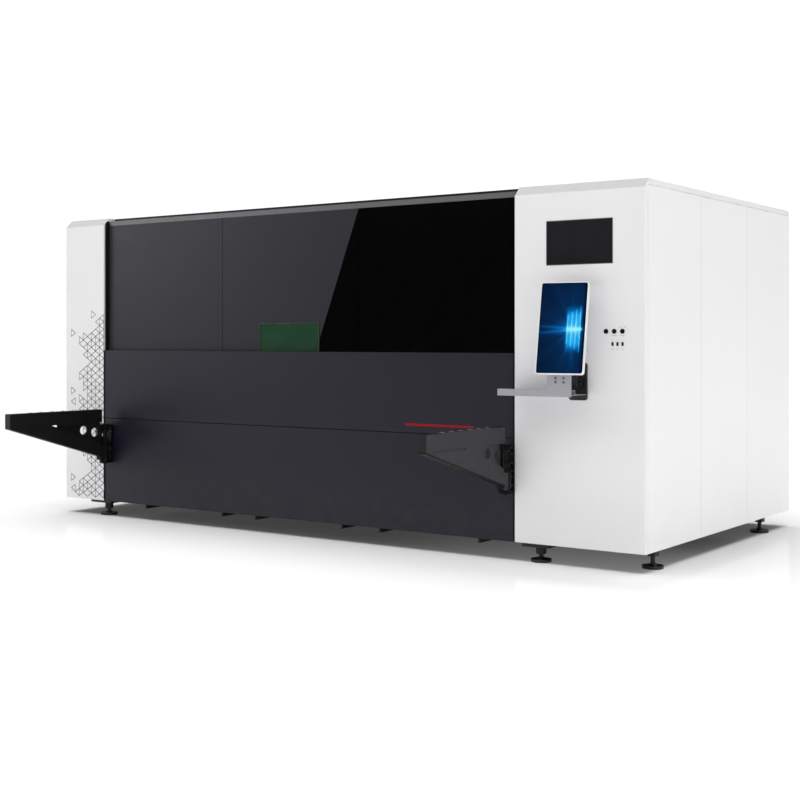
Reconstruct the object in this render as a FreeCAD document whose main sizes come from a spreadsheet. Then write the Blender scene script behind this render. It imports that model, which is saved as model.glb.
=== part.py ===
import FreeCAD, Part
import math
import os
import Sketcher

# Enclosed flat-bed sheet cutting machine.
# Frame: +X to the right along the length, -Y is the operator side, +Z up.
# Origin: middle of the bounding box on the floor. Millimetres.

V = FreeCAD.Vector
doc = FreeCAD.newDocument("cutting_machine")

# ---------------------------------------------------------------- driving dimensions
DIMS = [
    ("left_x", -2250.0), ("right_x", 2250.0), ("front_y", -687.5), ("rear_y", 1562.5),
    ("ground_gap", 105.0), ("face_top", 2034.5), ("bevel_dep", 50.0), ("bevel_rise", 49.5),
    ("skin_thk", 3.0), ("pan_dep", 30.0), ("left_inner", -1855.0), ("right_inner", 1459.0),
    ("gap_left", 17.0), ("gap_right", 8.0), ("recess", 40.0), ("seam_z", 684.0), ("ledge_z", 1157.0),
    ("roof_mid", 2084.0), ("cap_base", 2052.0), ("frame_top", 2048.0), ("tube_tall", 120.0),
    ("panel_seam_a", -770.8), ("panel_seam_b", 351.2), ("upper_low", 1060.0),
    ("win_left", -453.4), ("win_right", 42.7), ("win_low", 1122.0), ("win_high", 1339.0),
    ("side_seam_a", 61.5), ("side_seam_b", 790.5),
    ("bed_low", 400.0), ("bed_top", 690.0), ("bed_wide", 150.0), ("bed_off", 195.0),
    ("slat_top", 755.0), ("slat_thk", 6.0), ("slat_pitch", 100.0), ("slat_count", 30.0),
    ("tooth_pitch", 45.0), ("tooth_tall", 18.0),
    ("arm_reach", 875.0), ("arm_left_x", -1793.0), ("arm_right_x", 1431.0), ("arm_wide", 50.0),
    ("arm_top", 751.0), ("arm_beam", 90.0), ("arm_axis", 50.0), ("pin_rad", 14.0),
    ("barrel_rad", 28.0), ("web_hole_rad", 30.0),
    ("tray_left", 1461.0), ("tray_right", 1912.0), ("tray_dep", 185.0), ("tray_z", 936.0),
    ("mon_x", 1850.3), ("mon_wide", 264.8), ("mon_low", 74.0), ("mon_high", 427.5),
    ("mon_tilt", 12.6), ("mon_turn", 10.0), ("mon_rad", 16.0), ("hinge_y", 162.0), ("hinge_z", 1110.0),
    ("disp_left", 1660.0), ("disp_right", 2063.0), ("disp_low", 1637.0), ("disp_high", 1882.0),
    ("btn_xa", 2022.9), ("btn_xb", 2070.8), ("btn_xc", 2118.4), ("btn_z", 1276.0), ("btn_hole", 11.0),
    ("sw_xa", 2060.9), ("sw_xb", 2089.4), ("sw_xc", 2118.9), ("sw_z", 1208.6),
    ("screw_rad", 3.0), ("screw_head", 5.8), ("foot_rad", 58.5), ("foot_thk", 17.0), ("stem_rad", 12.0),
    ("beam_x", -1888.0), ("head_x", -1698.0), ("head_y", -312.5),
    ("exh_x", -198.0), ("exh_z", 1500.0), ("exh_rad", 125.0), ("exh_pcd", 300.0), ("exh_hole", 4.5),
    ("port_cable", 25.0), ("port_gas", 12.0), ("port_water", 18.0),
]
sheet = doc.addObject("Spreadsheet::Sheet", "Dims")
VAL = {}
for row, (alias, value) in enumerate(DIMS, start=1):
    sheet.set("A%d" % row, alias)
    sheet.set("B%d" % row, repr(value))
    sheet.setAlias("B%d" % row, alias)
    VAL[alias] = value
doc.recompute()


class Q:
    """A length with both its number and its sheet expression."""

    def __init__(self, num, txt):
        self.n = float(num)
        self.t = txt

    def __add__(self, o):
        o = q(o)
        return Q(self.n + o.n, "(%s + %s)" % (self.t, o.t))

    def __radd__(self, o):
        return q(o) + self

    def __sub__(self, o):
        o = q(o)
        return Q(self.n - o.n, "(%s - %s)" % (self.t, o.t))

    def __rsub__(self, o):
        return q(o) - self

    def __mul__(self, o):
        o = q(o)
        return Q(self.n * o.n, "(%s * %s)" % (self.t, o.t))

    def __rmul__(self, o):
        return q(o) * self

    def __truediv__(self, o):
        o = q(o)
        return Q(self.n / o.n, "(%s / %s)" % (self.t, o.t))

    def __neg__(self):
        return Q(-self.n, "(-1 * %s)" % self.t)


def q(o):
    return o if isinstance(o, Q) else Q(o, "(%s)" % repr(float(o)))


def D(alias):
    return Q(VAL[alias], "Dims." + alias)


NODES = {}
count = [0]


def uid(stem):
    count[0] += 1
    return "%s_%03d" % (stem, count[0])


def keep(obj, name):
    obj.Label = name
    NODES[name] = obj
    return obj


def place(obj, x, y, z, rot=None):
    x, y, z = q(x), q(y), q(z)
    obj.Placement = FreeCAD.Placement(V(x.n, y.n, z.n), rot or FreeCAD.Rotation())
    obj.setExpression("Placement.Base.x", x.t)
    obj.setExpression("Placement.Base.y", y.t)
    obj.setExpression("Placement.Base.z", z.t)


def bx(x0, x1, y0, y1, z0, z1, stem="box"):
    x0, x1, y0, y1, z0, z1 = [q(a) for a in (x0, x1, y0, y1, z0, z1)]
    o = doc.addObject("Part::Box", uid(stem))
    for prop, a, b in (("Length", x0, x1), ("Width", y0, y1), ("Height", z0, z1)):
        d = b - a
        setattr(o, prop, d.n)
        o.setExpression(prop, d.t)
    place(o, x0, y0, z0)
    return o


ALONG = {
    "Z": FreeCAD.Rotation(),
    "X": FreeCAD.Rotation(V(0, 1, 0), 90),
    "Y": FreeCAD.Rotation(V(1, 0, 0), -90),
}


def cy(x, y, z, rad, length, axis="Z", stem="cyl"):
    rad, length = q(rad), q(length)
    o = doc.addObject("Part::Cylinder", uid(stem))
    o.Radius = rad.n
    o.Height = length.n
    o.setExpression("Radius", rad.t)
    o.setExpression("Height", length.t)
    place(o, x, y, z, ALONG[axis])
    return o


def cone(x, y, z, r0, r1, length, stem="cone"):
    r0, r1, length = q(r0), q(r1), q(length)
    o = doc.addObject("Part::Cone", uid(stem))
    for prop, a in (("Radius1", r0), ("Radius2", r1), ("Height", length)):
        setattr(o, prop, a.n)
        o.setExpression(prop, a.t)
    place(o, x, y, z)
    return o


def ball(x, y, z, rad):
    rad = q(rad)
    o = doc.addObject("Part::Sphere", uid("ball"))
    o.Radius = rad.n
    o.setExpression("Radius", rad.t)
    place(o, x, y, z)
    return o


def fuse(parts, stem="fuse"):
    if len(parts) == 1:
        return parts[0]
    o = doc.addObject("Part::MultiFuse", uid(stem))
    o.Shapes = parts
    o.Refine = True
    return o


def cut(base, tools, stem="cut"):
    o = doc.addObject("Part::Cut", uid(stem))
    o.Base = base
    o.Tool = fuse(tools) if isinstance(tools, list) else tools
    o.Refine = True
    return o


def group(parts, stem="set"):
    o = doc.addObject("Part::Compound", uid(stem))
    o.Links = parts
    return o


def body(name):
    return doc.addObject("PartDesign::Body", uid("body_" + name))


def origin_plane(b, role):
    for f in b.Origin.OriginFeatures:
        if f.Role == role:
            return f
    raise ValueError(role)


def sketch(b, role, off, loops=(), circles=()):
    """Closed polygons and circles at a distance along an origin plane's normal."""
    off = q(off)
    sk = b.newObject("Sketcher::SketchObject", uid("sketch"))
    sk.AttachmentSupport = [(origin_plane(b, role), "")]
    sk.MapMode = "FlatFace"
    sk.AttachmentOffset = FreeCAD.Placement(V(0, 0, off.n), FreeCAD.Rotation())
    sk.setExpression("AttachmentOffset.Base.z", off.t)
    cons, links = [], []
    g = 0
    for loop in loops:
        pts = [(q(a), q(c)) for a, c in loop]
        k = len(pts)
        for i in range(k):
            a, c = pts[i], pts[(i + 1) % k]
            sk.addGeometry(Part.LineSegment(V(a[0].n, a[1].n, 0), V(c[0].n, c[1].n, 0)), False)
        for i in range(k):
            cons.append(Sketcher.Constraint("Coincident", g + i, 2, g + (i + 1) % k, 1))
        for i in range(k):
            for kind, val, axis in (("DistanceX", pts[i][0], -2), ("DistanceY", pts[i][1], -1)):
                if abs(val.n) < 1e-9:
                    cons.append(Sketcher.Constraint("PointOnObject", g + i, 1, axis))
                else:
                    links.append((len(cons), "%s%d" % (kind[-1].lower() + "p", g + i), val.t))
                    cons.append(Sketcher.Constraint(kind, -1, 1, g + i, 1, val.n))
        g += k
    for cx, cz, r in circles:
        cx, cz, r = q(cx), q(cz), q(r)
        sk.addGeometry(Part.Circle(V(cx.n, cz.n, 0), V(0, 0, 1), r.n), False)
        links.append((len(cons), "rad%d" % g, r.t))
        cons.append(Sketcher.Constraint("Radius", g, r.n))
        for kind, val, axis in (("DistanceX", cx, -2), ("DistanceY", cz, -1)):
            if abs(val.n) < 1e-9:
                cons.append(Sketcher.Constraint("PointOnObject", g, 3, axis))
            else:
                links.append((len(cons), "%s%d" % (kind[-1].lower() + "c", g), val.t))
                cons.append(Sketcher.Constraint(kind, -1, 1, g, 3, val.n))
        g += 1
    sk.addConstraint(cons)
    for index, name, txt in links:
        sk.renameConstraint(index, name)
        sk.setExpression("Constraints." + name, txt)
    return sk


def pad(b, role, low, high, loops=(), circles=()):
    """Adds material between two distances along X (YZ), Y (XZ) or Z (XY)."""
    low, high = q(low), q(high)
    flip = role == "XZ_Plane"
    sk = sketch(b, role, (-low) if flip else low, loops, circles)
    f = b.newObject("PartDesign::Pad", uid("pad"))
    f.Profile = sk
    d = high - low
    f.Length = d.n
    f.setExpression("Length", d.t)
    f.Reversed = flip
    return f


def pocket(b, role, low, high, loops=(), circles=()):
    """Removes material between two distances along X (YZ), Y (XZ) or Z (XY)."""
    low, high = q(low), q(high)
    flip = role == "XZ_Plane"
    sk = sketch(b, role, (-low) if flip else high, loops, circles)
    f = b.newObject("PartDesign::Pocket", uid("pocket"))
    f.Profile = sk
    d = high - low
    f.Length = d.n
    f.setExpression("Length", d.t)
    f.Reversed = False
    return f


def spin(b, pts, off=0.0):
    """Turned piece about the body's own Z axis, profile in the XZ plane."""
    sk = sketch(b, "XZ_Plane", off, [pts])
    f = b.newObject("PartDesign::Revolution", uid("turn"))
    f.Profile = sk
    f.ReferenceAxis = (sk, ["V_Axis"])
    f.Angle = 360.0
    return f


def round_edges(b, feature, test, radius, alias=None):
    doc.recompute()
    names = ["Edge%d" % i for i, e in enumerate(feature.Shape.Edges, start=1) if test(e)]
    if not names:
        raise ValueError("no edges to round on " + b.Name)
    f = b.newObject("PartDesign::Fillet", uid("fillet"))
    f.Base = (feature, names)
    f.Radius = radius
    if alias:
        f.setExpression("Radius", "Dims." + alias)
    return f


def rect(a0, a1, c0, c1):
    return [(a0, c0), (a1, c0), (a1, c1), (a0, c1)]


F, B = D("front_y"), D("rear_y")
XL, XR = D("left_x"), D("right_x")
IL, IR = D("left_inner"), D("right_inner")
T = D("skin_thk")
G0 = D("ground_gap")
MID = (F + B) / 2


def mirror_x(x):
    """Mirror about the middle of the dark front opening."""
    return IL + IR - x


# ---------------------------------------------------------------- welded base frame
def cut_back(bar, others):
    """A frame tube cut to fit between the tubes that run through."""
    return cut(bar, others)


zt = G0 + D("tube_tall")
ft = D("frame_top")
beams = []
for x in (-1450, -750, -462, 234, 521, 1218):
    beams.append(cut(fuse([bx(x, x + 130, F + 30, B - 30, G0 - 1, zt), bx(x, x + 12, F + 8, B - 30, G0 - 27, G0 - 1)]), [
        bx(x + 6, x + 124, y, y + 60, G0 + 5, zt - 6) for y in (F + 25, B - 85)]))
rails_x = [(F + 40, F + 140), (MID - 50, MID + 50), (B - 140, B - 40)]
cross = [cut_back(bx(XL + 30, XR - 30, a, c, G0, zt), beams) for a, c in rails_x]
solid_x = [bx(XL + 20, XR - 20, a, c, G0 - 5, zt + 5) for a, c in rails_x]
lengthwise = []
for x, w in ((XL + 30, 100), (XR - 130, 100), (q(1560), 80), (q(-1800), 80), (q(-240), 80), (q(1350), 80)):
    lengthwise.append(cut_back(bx(x, x + w, F + 40, B - 40, G0, zt), solid_x))
tubes = []
for x in (-1800, -240, 1350):
    for y in (F + D("bed_off"), B - D("bed_off") - D("bed_wide")):
        tubes.append(bx(x, x + 80, y, y + D("bed_wide"), zt, D("bed_low")))
for y in (F + D("bed_off"), B - D("bed_off") - D("bed_wide")):
    tubes.append(bx(-2100, 1440, y, y + D("bed_wide"), D("bed_low"), D("bed_top")))
tubes.append(bx(-1728, 1332, F + D("bed_off") + D("bed_wide"), F + 385, 520, 545))
tubes.append(bx(-1728, 1332, B - 385, B - D("bed_off") - D("bed_wide"), 520, 545))
for x in (-1717, -263, -157, 1297):
    tubes.append(bx(x, x + 20, F + 345, B - 60, zt, 238))
for x, y in (
    (XL + 30, F + 40), (XL + 30, B - 120), (XR - 110, F + 40), (XR - 110, B - 120),
    (IL - 85, F + 110), (IL - 85, B - 120), (IR + 5, F + 110), (IR + 5, B - 120),
):
    tubes.append(bx(x, x + 80, y, y + 80, zt, ft - 80))
top_y = []
for x, y in ((XL + 30, F + 40), (IL - 85, F + 110), (IR + 5, F + 110), (XR - 110, F + 40)):
    top_y.append(bx(x, x + 80, y, B - 40, ft - 80, ft))
top_x = [cut_back(bx(XL + 30, XR - 30, y, y + 80, ft - 80, ft), top_y) for y in (F + 110, B - 120)]
for x in (D("arm_left_x"), D("arm_right_x")):
    tubes.append(bx(x - 36, x + 24, F + 32, F + 110, zt, 655))
FEET = [(-1870, F + 65), (1594, F + 65), (-1870, B - 65), (1594, B - 65),
        (2191, F + 222), (2191, F + 1855), (-2191, F + 1855)]
for x, y in FEET:
    bore = cy(x, y, 40, D("stem_rad") + 0.3, 70)
    if abs(x) > 2100:
        more = 32 if y == F + 222 else 16
        tubes.append(cut(bx(x - 21, x + 21, y - 21, y + 21 + more, G0 - 39, G0), [bore]))
    else:
        near, far, deep = (125, 75, 17) if x < 0 else (92, 74, 21)
        tubes.append(cut(fuse([bx(x - near, x + far, y - 54, y + 54, G0 - deep, G0),
                               cy(x, y, 48, 29, G0 - 60), cone(x, y, 44, 26, 29, 4)]), [bore]))
keep(group(beams + cross + lengthwise + tubes + top_y + top_x), "base_frame")

pads, stems = [], []
FR, FT = D("foot_rad"), D("foot_thk")
for x, y in FEET:
    low = cone(x, y, 0, FR - 2, FR, 2)
    disc = cy(x, y, 2, FR, FT - 3)
    top = cone(x, y, FT - 1, FR, FR - 1, 1)
    neck = cone(x, y, FT - 1, 26, 17, 8)
    ring = cut(fuse([low, disc, top]), [cut(cy(x, y, FT - 2, FR - 7, 4), [cy(x, y, FT - 4, 26, 8)])])
    seat = cy(x, y, 8, D("stem_rad") + 0.2, 30)
    pads.append(cut(fuse([ring, neck]), [seat]))
    stems.append(fuse([cy(x, y, 8.2, D("stem_rad"), 92), cy(x, y, FT + 7.2, 16, 6)]))
keep(group(pads), "foot_pads")
keep(group(stems), "foot_stems")


# ---------------------------------------------------------------- sheet-metal covers
def tub(x0, x1, y0, y1, z0, z1, face, extra=None, t=None):
    """Folded cover: a face sheet with four returns, open at the back."""
    x0, x1, y0, y1, z0, z1 = [q(a) for a in (x0, x1, y0, y1, z0, z1)]
    t = T if t is None else q(t)
    outer = bx(x0, x1, y0, y1, z0, z1, "cover")
    k = {"-x": (t, -1, t, -t, t, -t), "+x": (-1, -t, t, -t, t, -t),
         "-y": (t, -t, t, 1, t, -t), "+y": (t, -t, -1, -t, t, -t),
         "+z": (t, -t, t, -t, -1, -t)}[face]
    if face == "-x":
        k = (t, 1, t, -t, t, -t)
    hollow = bx(x0 + k[0], x1 + k[1], y0 + k[2], y1 + k[3], z0 + k[4], z1 + k[5], "hollow")
    return cut(outer, [hollow] + (extra or []))


BZ = D("face_top") + D("bevel_rise")
BD = D("bevel_dep")


def front_cover(name, x0, x1, corner_x):
    """Face with a folded bevel at its top edge and returns behind."""
    b = body(name)
    ring = F + D("pan_dep")
    pad(b, "YZ_Plane", x0, x1, [[
        (F, G0), (F, D("face_top")), (F + BD, BZ), (F + BD, D("frame_top") + 2),
        (ring, D("frame_top") + 2), (ring, G0)]])
    last = pocket(b, "YZ_Plane", x0 + T, x1 - T, [[
        (F + T, G0 + T), (F + T, D("face_top") - 1.25), (F + BD + 2, BZ - 2.3),
        (F + BD + 2, D("frame_top") - 3), (ring + 2, D("frame_top") - 3), (ring + 2, G0 + T)]])

    def corner(e):
        bb = e.BoundBox
        return (bb.XLength < 1e-3 and any(abs(bb.XMin - c.n) < 1e-3 for c in corner_x)
                and abs(bb.YMin - F.n) < 1e-3 and bb.ZLength > 30)

    round_edges(b, last, corner, 8.0)
    return b


b = front_cover("left", XL, IL, [XL])
keep(b, "left_front_cover")

b = front_cover("right", IR, XR, [IR, XR])
btn = [(D(k), D("btn_z"), D("btn_hole")) for k in ("btn_xa", "btn_xb", "btn_xc")]
pocket(b, "XZ_Plane", F - 2, F + T + 2, [rect(D("disp_left"), D("disp_right"), D("disp_low"), D("disp_high"))])
pocket(b, "XZ_Plane", F - 2, F + T + 2, [], btn)
pocket(b, "XZ_Plane", F - 2, F + T + 2, [
    rect(D(k) - 4.9, D(k) + 4.9, D("sw_z") - 9.3, D("sw_z") + 9.3) for k in ("sw_xa", "sw_xb", "sw_xc")])
keep(b, "right_front_cover")

SZ = D("cap_base") - 6
SB = B - 32
side = [("left_side_cover_front", XL, F + 32, MID - 0.9), ("left_side_cover_rear", XL, MID + 0.9, SB),
        ("right_side_cover_front", XR, F + 32, D("side_seam_a") - 0.9),
        ("right_side_cover_mid", XR, D("side_seam_a") + 0.9, D("side_seam_b") - 0.9),
        ("right_side_cover_rear", XR, D("side_seam_b") + 0.9, SB)]
for name, x, y0, y1 in side:
    if x is XL:
        keep(tub(x, x + 30, y0, y1, G0, SZ, "-x"), name)
    else:
        keep(tub(x - 30, x, y0, y1, G0, SZ, "+x"), name)


def roof_cap(name, x_in, x_out, s):
    """Roof cap with a slightly leaning outer skirt, closed at the rear."""
    b = body(name)
    z0 = D("cap_base")
    out = [(x_in, z0), (x_out, z0), (x_out - 8 * s, BZ), (x_in, BZ)]
    core = [(x_in + T * s, z0 - 2), (x_out - T * s, z0 - 2), (x_out - 10.4 * s, BZ - T), (x_in + T * s, BZ - T)]
    pad(b, "XZ_Plane", F + BD + 2, B, [out])
    pocket(b, "XZ_Plane", F + BD - 1, B - T, [core])
    keep(b, name)


roof_cap("left_roof_cap", IL, XL, -1)
roof_cap("right_roof_cap", IR, XR, 1)
keep(tub(IL + 3, IR - 3, F + 103, B, D("frame_top") + 2, D("roof_mid"), "+z"), "roof_panel")
keep(bx(IR - 3, IR, F + 111, B - 35, zt + 3, ft - 83), "right_inner_wall")


def face_and_frame(z0, z1, parts):
    """Face sheet flush with the cabinets, with a folded frame behind it."""
    gl, gr = IL + D("gap_left"), IR - D("gap_right")
    sheet_ = bx(gl, gr, F, F + 4, z0, z1, "face")
    outer = bx(gl + 5, gr - 5, F + 3.5, F + 28, z0 + 4, z1 - 4)
    inner = bx(gl + 8, gr - 8, F + 4, F + 30, z0 + 7, z1 - 7)
    ribs = [bx(x - 15, x + 15, F + 3.5, F + 27, z0 + 5, z1 - 5) for x in (-1116, -198, 720)]
    return fuse([sheet_, cut(outer, [inner])] + ribs + parts)


keep(face_and_frame(G0, D("seam_z") - 2, []), "lower_front_cover")

ez = D("exh_z")
ex = D("exh_x")
PORTS = [(1260, D("port_cable")), (1120, D("port_gas")), (980, D("port_water")), (880, D("port_water"))]
bolt_holes = []
for i in range(8):
    a = math.radians(22.5 + 45 * i)
    bolt_holes.append((ex + D("exh_pcd") / 2 * math.cos(a), ez + D("exh_pcd") / 2 * math.sin(a)))
rear_extra = [cy(ex, B - 20, ez, D("exh_rad") + 2, 40, "Y")]
rear_extra += [cy(x, B - 20, 560, r, 40, "Y") for x, r in PORTS]
rear_extra += [cy(x, B - 20, z, D("exh_hole"), 40, "Y") for x, z in bolt_holes]
rear_extra += [bx(-1718, -242, B - 40, B + 5, 229, 399), bx(-158, 1318, B - 40, B + 5, 229, 399)]
keep(tub(IL + 3, IR - 3, B - 30, B, G0 + 3, SZ, "+y", rear_extra), "rear_cover")
flange = fuse([cy(ex, B - 13, ez, 180, 10, "Y"), cy(ex, B - 103, ez, D("exh_rad") + 3, 95, "Y")])
keep(cut(flange, [cy(ex, B - 110, ez, D("exh_rad"), 120, "Y")]
         + [cy(x, B - 20, z, D("exh_hole"), 30, "Y") for x, z in bolt_holes]), "exhaust_flange")


def louvres(x0, x1, zlist):
    return [bx(x0, x1, B - 20, B + 5, z, z + 9) for z in zlist]


vents = [300 + 26 * i for i in range(9)] + [1650 + 26 * i for i in range(9)]
keep(tub(XL + 2, IL - 2, B - 30, B, G0 + 3, SZ, "+y", louvres(-2150, -1955, vents)
         + [bx(-1915, -1885, B - 20, B + 5, 1040, 1160)]), "left_rear_door")
keep(tub(IR + 2, XR - 2, B - 30, B, G0 + 3, SZ, "+y", louvres(1620, 2100, vents)
         + [bx(1490, 1520, B - 20, B + 5, 1040, 1160)]), "right_rear_door")

# ---------------------------------------------------------------- door guides
guides = []
for s in (0, 1):
    def X(x):
        return mirror_x(x) if s else q(x)

    def slab(x0, x1, y0, y1, z0, z1):
        a, c = X(x0), X(x1)
        return bx(c, a, y0, y1, z0, z1) if s else bx(a, c, y0, y1, z0, z1)

    jamb = slab(IL, IL + 3, F + 0.5, F + 110, G0, ft - 3)
    notch = slab(IL - 2, IL + 5, F - 1, F + 12, D("ledge_z"), ft)
    foot = slab(IL - 2, IL + 5, F + 38, F + 112, G0 - 5, zt + 3)
    link = slab(IL - 75, IL + 55, F + 104, F + 110, D("seam_z") + 6, ft - 3)
    bar = slab(IL + 15, IL + 55, F + 62, F + 105, D("seam_z") + 6, D("face_top") - 6.5)
    slot_a = slab(IL + 14, IL + 27, F + 71, F + 91, D("seam_z"), ft)
    slot_b = slab(IL + 43, IL + 56, F + 71, F + 91, D("seam_z"), ft)
    wing = body("wing%d" % s)
    pad(wing, "YZ_Plane", IR - T if s else IL, IR if s else IL + T, [[
        (F + 12, ft - 20), (F + 12, D("face_top") + 11.3), (F + 30.2, D("face_top") + 29.5), (F + BD + 3, D("face_top") + 29.5),
        (F + BD + 3, ft - 20)]])
    guides.append(cut(fuse([jamb, link, bar, wing]), [slot_a, slot_b, notch, foot]))
keep(group(guides), "door_guides")

# ---------------------------------------------------------------- lower lifting leaf
arms_ = []
for s in (0, 1):
    def slab(x0, x1, y0, y1, z0, z1):
        return bx(mirror_x(x1), mirror_x(x0), y0, y1, z0, z1) if s else bx(x0, x1, y0, y1, z0, z1)
    arms_.append(slab(IL + 6, IL + 11, F + 4, F + 95, D("seam_z") + 6, D("ledge_z") - 4))
    for z in (D("seam_z") + 40, (D("seam_z") + D("ledge_z")) / 2 - 40, D("ledge_z") - 120):
        arms_.append(slab(IL + 10, IL + 27, F + 8, F + 14, z, z + 80))
    for z in (D("seam_z") + 40, D("ledge_z") - 120):
        arms_.append(slab(IL + 10, IL + 25, F + 73, F + 89, z, z + 80))
keep(face_and_frame(D("seam_z") + 2, D("ledge_z"), arms_), "lower_door")

# ---------------------------------------------------------------- upper lifting leaf
R = F + D("recess")
UL, UH = D("upper_low"), D("face_top") - 5
ux0, ux1 = IL + 60, IR - 60
sa, sb = D("panel_seam_a"), D("panel_seam_b")
frame_ = [bx(ux0, ux1, R + 6, R + 46, UL, UL + 40), bx(ux0, ux1, R + 6, R + 46, UH - 40, UH)]
for x in (ux0, sa - 20, sb - 20, ux1 - 40):
    frame_.append(bx(x, x + 40, R + 6, R + 46, UL + 40, UH - 40))
for z in (UL + 60, UL + 440):
    frame_.append(bx(ux0 - 15, ux0, F + 73, F + 89, z, z + 80))
    frame_.append(bx(ux1, ux1 + 15, F + 73, F + 89, z, z + 80))
keep(group(frame_), "upper_door_frame")
keep(bx(IL + 14, sa - 1.5, R, R + 6, UL, UH + 1), "fascia_left")
win = [rect(D("win_left"), D("win_right"), D("win_low"), D("win_high"))]
b = body("fascia_mid")
pad(b, "XZ_Plane", R, R + 6, [rect(sa + 1.5, sb - 1.5, UL, UH + 1)])
pocket(b, "XZ_Plane", R - 1, R + 7, win)
keep(b, "fascia_mid")
keep(bx(sb + 1.5, IR - 14, R, R + 6, UL, UH + 1), "fascia_right")
b = body("gasket")
pad(b, "XZ_Plane", R - 3, R + 10, [rect(D("win_left") + 0.5, D("win_right") - 0.5, D("win_low") + 0.5, D("win_high") - 0.5)])
pocket(b, "XZ_Plane", R - 4, R + 11, [rect(D("win_left") + 7, D("win_right") - 7, D("win_low") + 7, D("win_high") - 7)])
keep(b, "window_gasket")
keep(bx(D("win_left") + 7.3, D("win_right") - 7.3, R, R + 6, D("win_low") + 7.3, D("win_high") - 7.3), "window_glass")
b = body("cap")
zc = D("face_top") - 3.5
pad(b, "YZ_Plane", IL + 14, IR - 14, [[
    (R, zc), (R, zc + 2), (R + 10, BZ - 20), (F + 98.5, BZ - 20), (F + 98.5, BZ - 23),
    (R + 12.6, BZ - 23), (R + 3.6, zc + 2.9), (F + 96, zc + 2.9), (F + 96, zc)]])
keep(b, "upper_door_cap")

# ---------------------------------------------------------------- slat table
tx0, tx1, ty0, ty1 = -1725, 1329, F + 350, B - 350
bars = [bx(tx0, tx1, ty0, ty0 + 60, 545, 625), bx(tx0, tx1, ty1 - 60, ty1, 545, 625)]
bars += [bx(x, x + 60, ty0 + 60, ty1 - 60, 545, 625) for x in (tx0, tx1 - 60)]
bars += [bx(x - 20, x + 20, ty0 + 60, ty1 - 60, 545, 620) for x in (-1030.0, -530.0, 134.0, 634.0)]
keep(group(bars), "table_frame")

slat_len = VAL["rear_y"] - VAL["front_y"] - 712.0
y_start = VAL["front_y"] + 356.0
top, pitch, tall = VAL["slat_top"], VAL["tooth_pitch"], VAL["tooth_tall"]
teeth = int(slat_len // pitch)
margin = (slat_len - teeth * pitch) / 2.0
pts = [V(0, y_start, 625.0), V(0, y_start, top - tall)]
for i in range(teeth):
    y = y_start + margin + i * pitch
    pts.append(V(0, y, top - tall))
    pts.append(V(0, y + pitch / 2.0, top))
pts.append(V(0, y_start + slat_len - margin, top - tall))
pts.append(V(0, y_start + slat_len, top - tall))
pts.append(V(0, y_start + slat_len, 625.0))
clean = [pts[0]]
for p in pts[1:]:
    if (p - clean[-1]).Length > 1e-6:
        clean.append(p)
slat = Part.Face(Part.makePolygon(clean + [clean[0]])).extrude(V(VAL["slat_thk"], 0, 0))
copies = []
for i in range(int(VAL["slat_count"])):
    c = slat.copy()
    c.translate(V(-1651.0 + VAL["slat_pitch"] * i, 0, 0))
    copies.append(c)
slats = doc.addObject("Part::Feature", "slats")
slats.Shape = Part.makeCompound(copies)
slats.Placement = FreeCAD.Placement()
keep(slats, "table_slats")

# ---------------------------------------------------------------- gantry
bt = D("bed_top")
rail_f = F + D("bed_off") + D("bed_wide") / 2
rail_b = B - D("bed_off") - D("bed_wide") / 2
keep(group([bx(-2090, 1430, y - 15, y + 15, bt, bt + 28) for y in (rail_f, rail_b)]), "x_rails")
gx = D("beam_x")
beam = bx(gx - 90, gx + 90, F + 205, B - 205, 850, 1080)
keep(cut(beam, [bx(gx - 82, gx + 82, F + 200, B - 200, 858, 1072)]), "gantry_beam")
trucks = []
for y in (rail_f, rail_b):
    truck = bx(gx - 200, gx + 150, y - 65, y + 65, bt + 10, 850)
    trucks.append(cut(truck, [bx(gx - 210, gx + 160, y - 18, y + 18, bt, bt + 31)]))
keep(group(trucks), "gantry_carriages")
motors = []
for y in (rail_f, rail_b):
    can = bx(gx - 196, gx - 96, y - 50, y + 50, 850, 862)
    shell = bx(gx - 190, gx - 102, y - 44, y + 44, 860, 1000)
    lid = bx(gx - 186, gx - 106, y - 40, y + 40, 998, 1040)
    motors.append(fuse([can, shell, lid]))
keep(group(motors), "gantry_motors")
keep(group([bx(gx + 90, gx + 115, F + 215, B - 215, z, z + 25) for z in (880, 1025)]), "y_rails")
hx, hy = D("head_x"), D("head_y")
plate = bx(gx + 118, gx + 140, hy - 120, hy + 120, 858, 1220)
shoes = []
for z in (892.5, 1037.5):
    for y in (hy - 85, hy + 85):
        blk = bx(gx + 96, gx + 119, y - 32, y + 32, z - 24, z + 24)
        shoes.append(cut(blk, [bx(gx + 80, gx + 116.5, y - 40, y + 40, z - 14, z + 14)]))
vrail = [bx(gx + 139, gx + 150, y - 10, y + 10, 880, 1200) for y in (hy - 30, hy + 30)]
topm = [bx(gx + 139, gx + 235, hy - 46, hy + 46, 1206, 1220), bx(gx + 147, gx + 227, hy - 40, hy + 40, 1218, 1380)]
keep(fuse([plate] + shoes + vrail + topm), "y_carriage")
hb = [
    bx(hx - 36, hx + 44, hy - 44, hy + 44, 925, 1080),
    bx(hx - 32, hx + 40, hy - 40, hy + 40, 880, 926),
    cy(hx, hy, 1079, 26, 15),
    cy(hx, hy, 836, 30, 46),
    cone(hx, hy, 800, 17, 30, 37),
]
head = cut(fuse(hb), [bx(hx - 42, hx - 35.5, hy - 45, hy + 45, 870, 1090), cy(hx, hy, 798, 3, 30)])
keep(head, "cutting_head")
noz = fuse([cone(hx, hy, 772, 4, 13, 16), cy(hx, hy, 788, 16, 12)])
keep(cut(noz, [cy(hx, hy, 770, 1.2, 40)]), "nozzle")

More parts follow.
